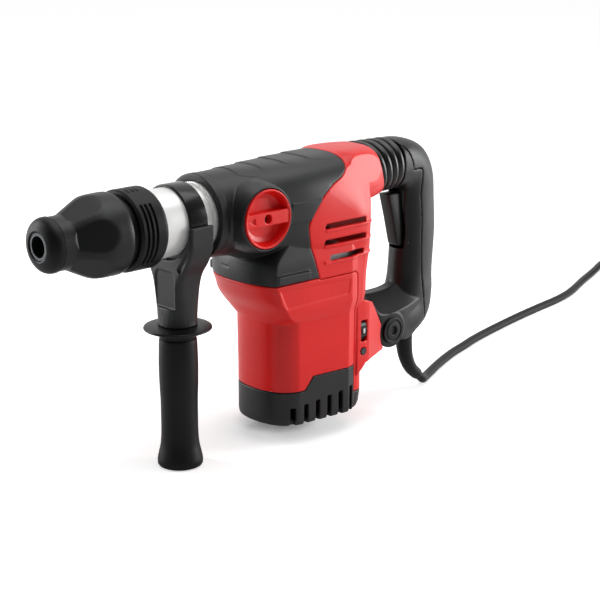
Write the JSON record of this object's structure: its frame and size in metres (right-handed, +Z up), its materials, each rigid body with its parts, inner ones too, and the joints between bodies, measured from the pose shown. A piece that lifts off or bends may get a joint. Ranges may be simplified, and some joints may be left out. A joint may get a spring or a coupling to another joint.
{
  "type": "rotary hammer",
  "caption": "Upright-motor rotary hammer with crank-driven hammer, slotted-shank socket, clamped side handle, sprung D-handle with trigger, mode knob and mains cord.",
  "frame": {"origin": "on the motor's axis, on the flat underside of the base cap", "axes": "+X forward along the tool axis, +Y to the tool's left, +Z up along the motor's axis"},
  "size_m": [1.1677, 0.2461, 0.2646],
  "materials": {
    "red_plastic": "moulded, fine grain",
    "charcoal_plastic": "moulded, fine grain",
    "black_plastic": "moulded, satin",
    "black_rubber": "matt",
    "polished_collar": "turned, satin",
    "machined_steel": "machined",
    "cast_metal": "as cast",
    "copper": "enamelled copper",
    "carbon": "pressed carbon",
    "board": "circuit board",
    "lens": "clear moulding"
  },
  "bodies": {
    "housing": {"gear_cover": "charcoal_plastic", "rear_cover": "red_plastic", "motor_housing": "red_plastic", "base_cap": "charcoal_plastic", "gear_case": "cast_metal", "gear_plate": "cast_metal", "neck_collar": "polished_collar", "front_bearing": "machined_steel", "front_seal": "black_rubber", "stator_core": "machined_steel", "field_windings": "copper", "motor_bearings": "machined_steel", "brush_holders": "cast_metal", "carbon_brushes": "carbon", "gear_bearings": "cast_metal", "control_board": "board", "indicator_lens": "lens", "case_screws": "machined_steel", "pivot_bolt": "black_plastic", "bellows": "black_rubber", "strain_relief": "black_rubber", "power_cord": "black_rubber", "cord_coil": "black_rubber", "cord_tie": "charcoal_plastic", "mains_plug": "black_rubber", "plug_pins": "polished_collar"},
    "rear_handle": {"handle_frame": "black_plastic", "handle_back": "charcoal_plastic", "pivot_bushes": "cast_metal", "switch_module": "black_plastic", "trigger_pin": "machined_steel"},
    "trigger": {"trigger": "black_plastic"},
    "mode_knob": {"mode_knob": "red_plastic", "knob_shaft": "machined_steel"},
    "speed_dial": {"speed_dial": "black_plastic"},
    "side_handle": {"clamp_bracket": "black_plastic", "clamp_strap": "black_plastic"},
    "side_grip": {"hand_guard": "black_plastic", "grip_sleeve": "black_rubber", "tension_bolt": "machined_steel"},
    "spindle": {"spindle": "machined_steel", "bevel_ring": "machined_steel", "nose_cap": "black_rubber", "lock_ring": "black_rubber", "locking_bars": "machined_steel"},
    "release_sleeve": {"release_sleeve": "charcoal_plastic"},
    "armature": {"armature_shaft": "machined_steel", "pinion": "machined_steel", "rotor_core": "machined_steel", "commutator": "copper", "fan": "charcoal_plastic"},
    "crank": {"crankshaft": "machined_steel", "crank_gear": "machined_steel"},
    "countershaft": {"countershaft": "machined_steel", "drive_gear": "machined_steel", "bevel_pinion": "machined_steel"},
    "piston": {"piston": "machined_steel", "conrod": "machined_steel"},
    "striker": {"striker": "machined_steel"},
    "impact_bolt": {"impact_bolt": "machined_steel"}
  },
  "joints": [
    {"name": "handle_pivot", "type": "hinge", "parent": "housing", "child": "rear_handle", "pos_m": [-0.11, 0, 0.06], "axis": [0, 1, 0], "range_deg": [0, 1.5], "stiffness_Nm_per_rad": 700, "deforming": ["bellows", "strain_relief"]},
    {"name": "trigger_pull", "type": "hinge", "parent": "rear_handle", "child": "trigger", "pos_m": [-0.149, 0, 0.138], "axis": [0, -1, 0], "range_deg": [0, 6], "stiffness_Nm_per_rad": 4, "springref_deg": -5.73},
    {"name": "mode_turn", "type": "hinge", "parent": "housing", "child": "mode_knob", "pos_m": [0.0684, 0.0455, 0.201], "axis": [0, 1, 0], "range_deg": [0, 180]},
    {"name": "dial_turn", "type": "hinge", "parent": "housing", "child": "speed_dial", "pos_m": [-0.059, 0.028, 0.0725], "axis": [1, 0, 0], "range_deg": [0, 270]},
    {"name": "side_swing", "type": "hinge", "parent": "housing", "child": "side_handle", "pos_m": [0.132, 0, 0.202], "axis": [1, 0, 0], "continuous": true},
    {"name": "grip_twist", "type": "hinge", "parent": "side_handle", "child": "side_grip", "pos_m": [0.132, 0, 0.108], "axis": [0, 0, 1], "range_deg": [0, 360]},
    {"name": "armature_spin", "type": "hinge", "parent": "housing", "child": "armature", "pos_m": [0, 0, 0.07], "axis": [0, 0, 1], "continuous": true},
    {"name": "crank_spin", "type": "hinge", "parent": "housing", "child": "crank", "pos_m": [-0.03, 0, 0.145], "axis": [0, 0, 1], "continuous": true},
    {"name": "countershaft_spin", "type": "hinge", "parent": "housing", "child": "countershaft", "pos_m": [0.03, 0, 0.145], "axis": [0, 0, 1], "continuous": true},
    {"name": "spindle_spin", "type": "hinge", "parent": "housing", "child": "spindle", "pos_m": [0.15, 0, 0.202], "axis": [1, 0, 0], "continuous": true},
    {"name": "release_slide", "type": "slide", "parent": "spindle", "child": "release_sleeve", "axis": [-1, 0, 0], "range_m": [0, 0.006], "stiffness_N_per_m": 1500, "springref_m": -0.004},
    {"name": "piston_slide", "type": "slide", "parent": "housing", "child": "piston", "axis": [1, 0, 0], "range_m": [0, 0.024]},
    {"name": "striker_slide", "type": "slide", "parent": "housing", "child": "striker", "axis": [1, 0, 0], "range_m": [0, 0.012]},
    {"name": "impact_slide", "type": "slide", "parent": "housing", "child": "impact_bolt", "axis": [1, 0, 0], "range_m": [0, 0.006]}
  ],
  "couplings": [
    {"joint": "crank_spin", "follows": "armature_spin", "ratio": -0.2},
    {"joint": "countershaft_spin", "follows": "armature_spin", "ratio": -0.2},
    {"joint": "spindle_spin", "follows": "armature_spin", "ratio": -0.066667}
  ]
}
